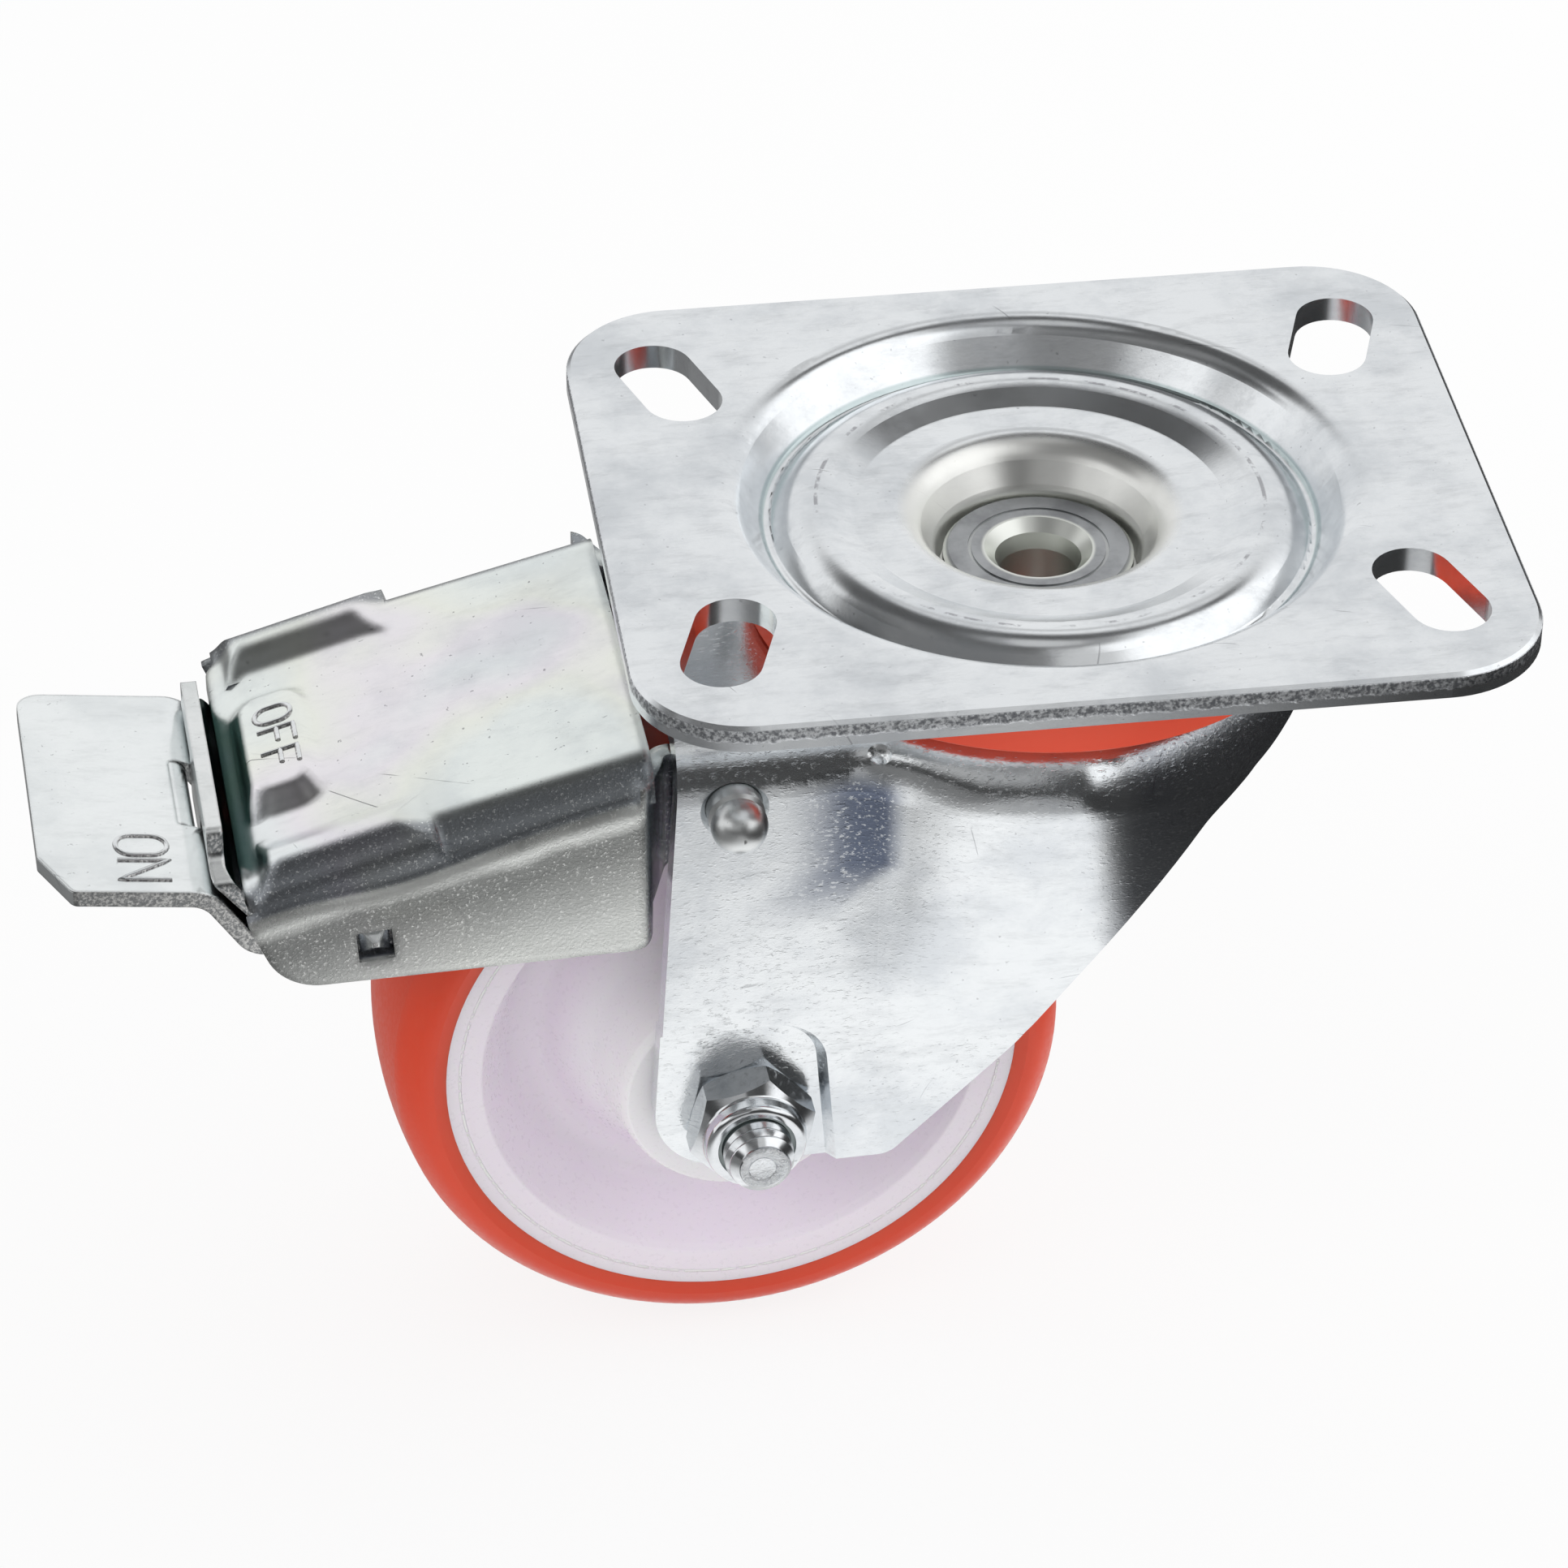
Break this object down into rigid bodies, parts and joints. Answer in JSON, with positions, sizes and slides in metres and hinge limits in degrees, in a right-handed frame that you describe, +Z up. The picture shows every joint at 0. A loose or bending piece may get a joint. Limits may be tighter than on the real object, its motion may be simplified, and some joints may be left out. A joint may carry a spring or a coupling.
{
  "type": "swivel castor with brake",
  "caption": "Swivel plate castor with a pressed steel fork, a polyurethane-tyred wheel and a foot brake with a release cover.",
  "frame": {"origin": "centre of the plate's flat top mounting face, on the swivel axis", "axes": "+Z up out of the mounting face along the swivel axis, +X along the plate's long side away from the brake pedal, +Y across the plate"},
  "size_m": [0.1656, 0.085, 0.1065],
  "materials": {
    "plate_zinc": "bright zinc-plated pressed steel",
    "fork_zinc": "bright zinc-plated pressed steel",
    "brake_zinc": "zinc-plated pressed steel, slightly iridescent",
    "kingpin_steel": "dull turned zinc-plated steel",
    "pin_steel": "zinc-plated steel",
    "bolt_steel": "bright zinc-plated bolt steel",
    "ball_steel": "hardened steel in grease",
    "spring_steel": "spring steel",
    "seal_rubber": "orange-red satin",
    "tread_rubber": "orange-red polyurethane, satin",
    "wheel_plastic": "pale lilac-white moulded nylon",
    "insert_plastic": "nylon ring of the lock nut"
  },
  "bodies": {
    "plate": {"top_plate": "plate_zinc", "kingpin": "kingpin_steel", "lower_race": "plate_zinc"},
    "fork_body": {"fork": "fork_zinc", "dust_seal": "seal_rubber", "upper_balls": "ball_steel", "lower_balls": "ball_steel", "brake_pivot_pin": "pin_steel", "axle_tube": "pin_steel", "axle_bolt": "bolt_steel", "axle_nut": "bolt_steel", "nut_insert": "insert_plastic"},
    "wheel": {"wheel_centre": "wheel_plastic", "wheel_tread": "tread_rubber"},
    "cover": {"brake_cover": "brake_zinc", "brake_shoe": "brake_zinc", "brake_spring": "spring_steel", "spring_rivet": "pin_steel"},
    "pedal": {"brake_pedal": "brake_zinc", "latch_plate": "brake_zinc", "latch_rivets": "pin_steel"}
  },
  "joints": [
    {"name": "swivel", "type": "hinge", "parent": "plate", "child": "fork_body", "pos_m": [0, 0, 0], "axis": [0, 0, 1], "continuous": true},
    {"name": "wheel_spin", "type": "hinge", "parent": "fork_body", "child": "wheel", "pos_m": [-0.03728, -0.00137, -0.0665], "axis": [-0.0366, 0.9993, 0], "continuous": true},
    {"name": "brake_cover_tilt", "type": "hinge", "parent": "fork_body", "child": "cover", "pos_m": [-0.03897, -0.00143, -0.0224], "axis": [-0.0366, 0.9993, 0], "range_deg": [-4.5, 0], "stiffness_Nm_per_rad": 0.6},
    {"name": "pedal_tilt", "type": "hinge", "parent": "cover", "child": "pedal", "pos_m": [-0.07925, -0.00291, -0.0351], "axis": [-0.0366, 0.9993, 0], "range_deg": [-5, 0], "stiffness_Nm_per_rad": 0.6}
  ]
}
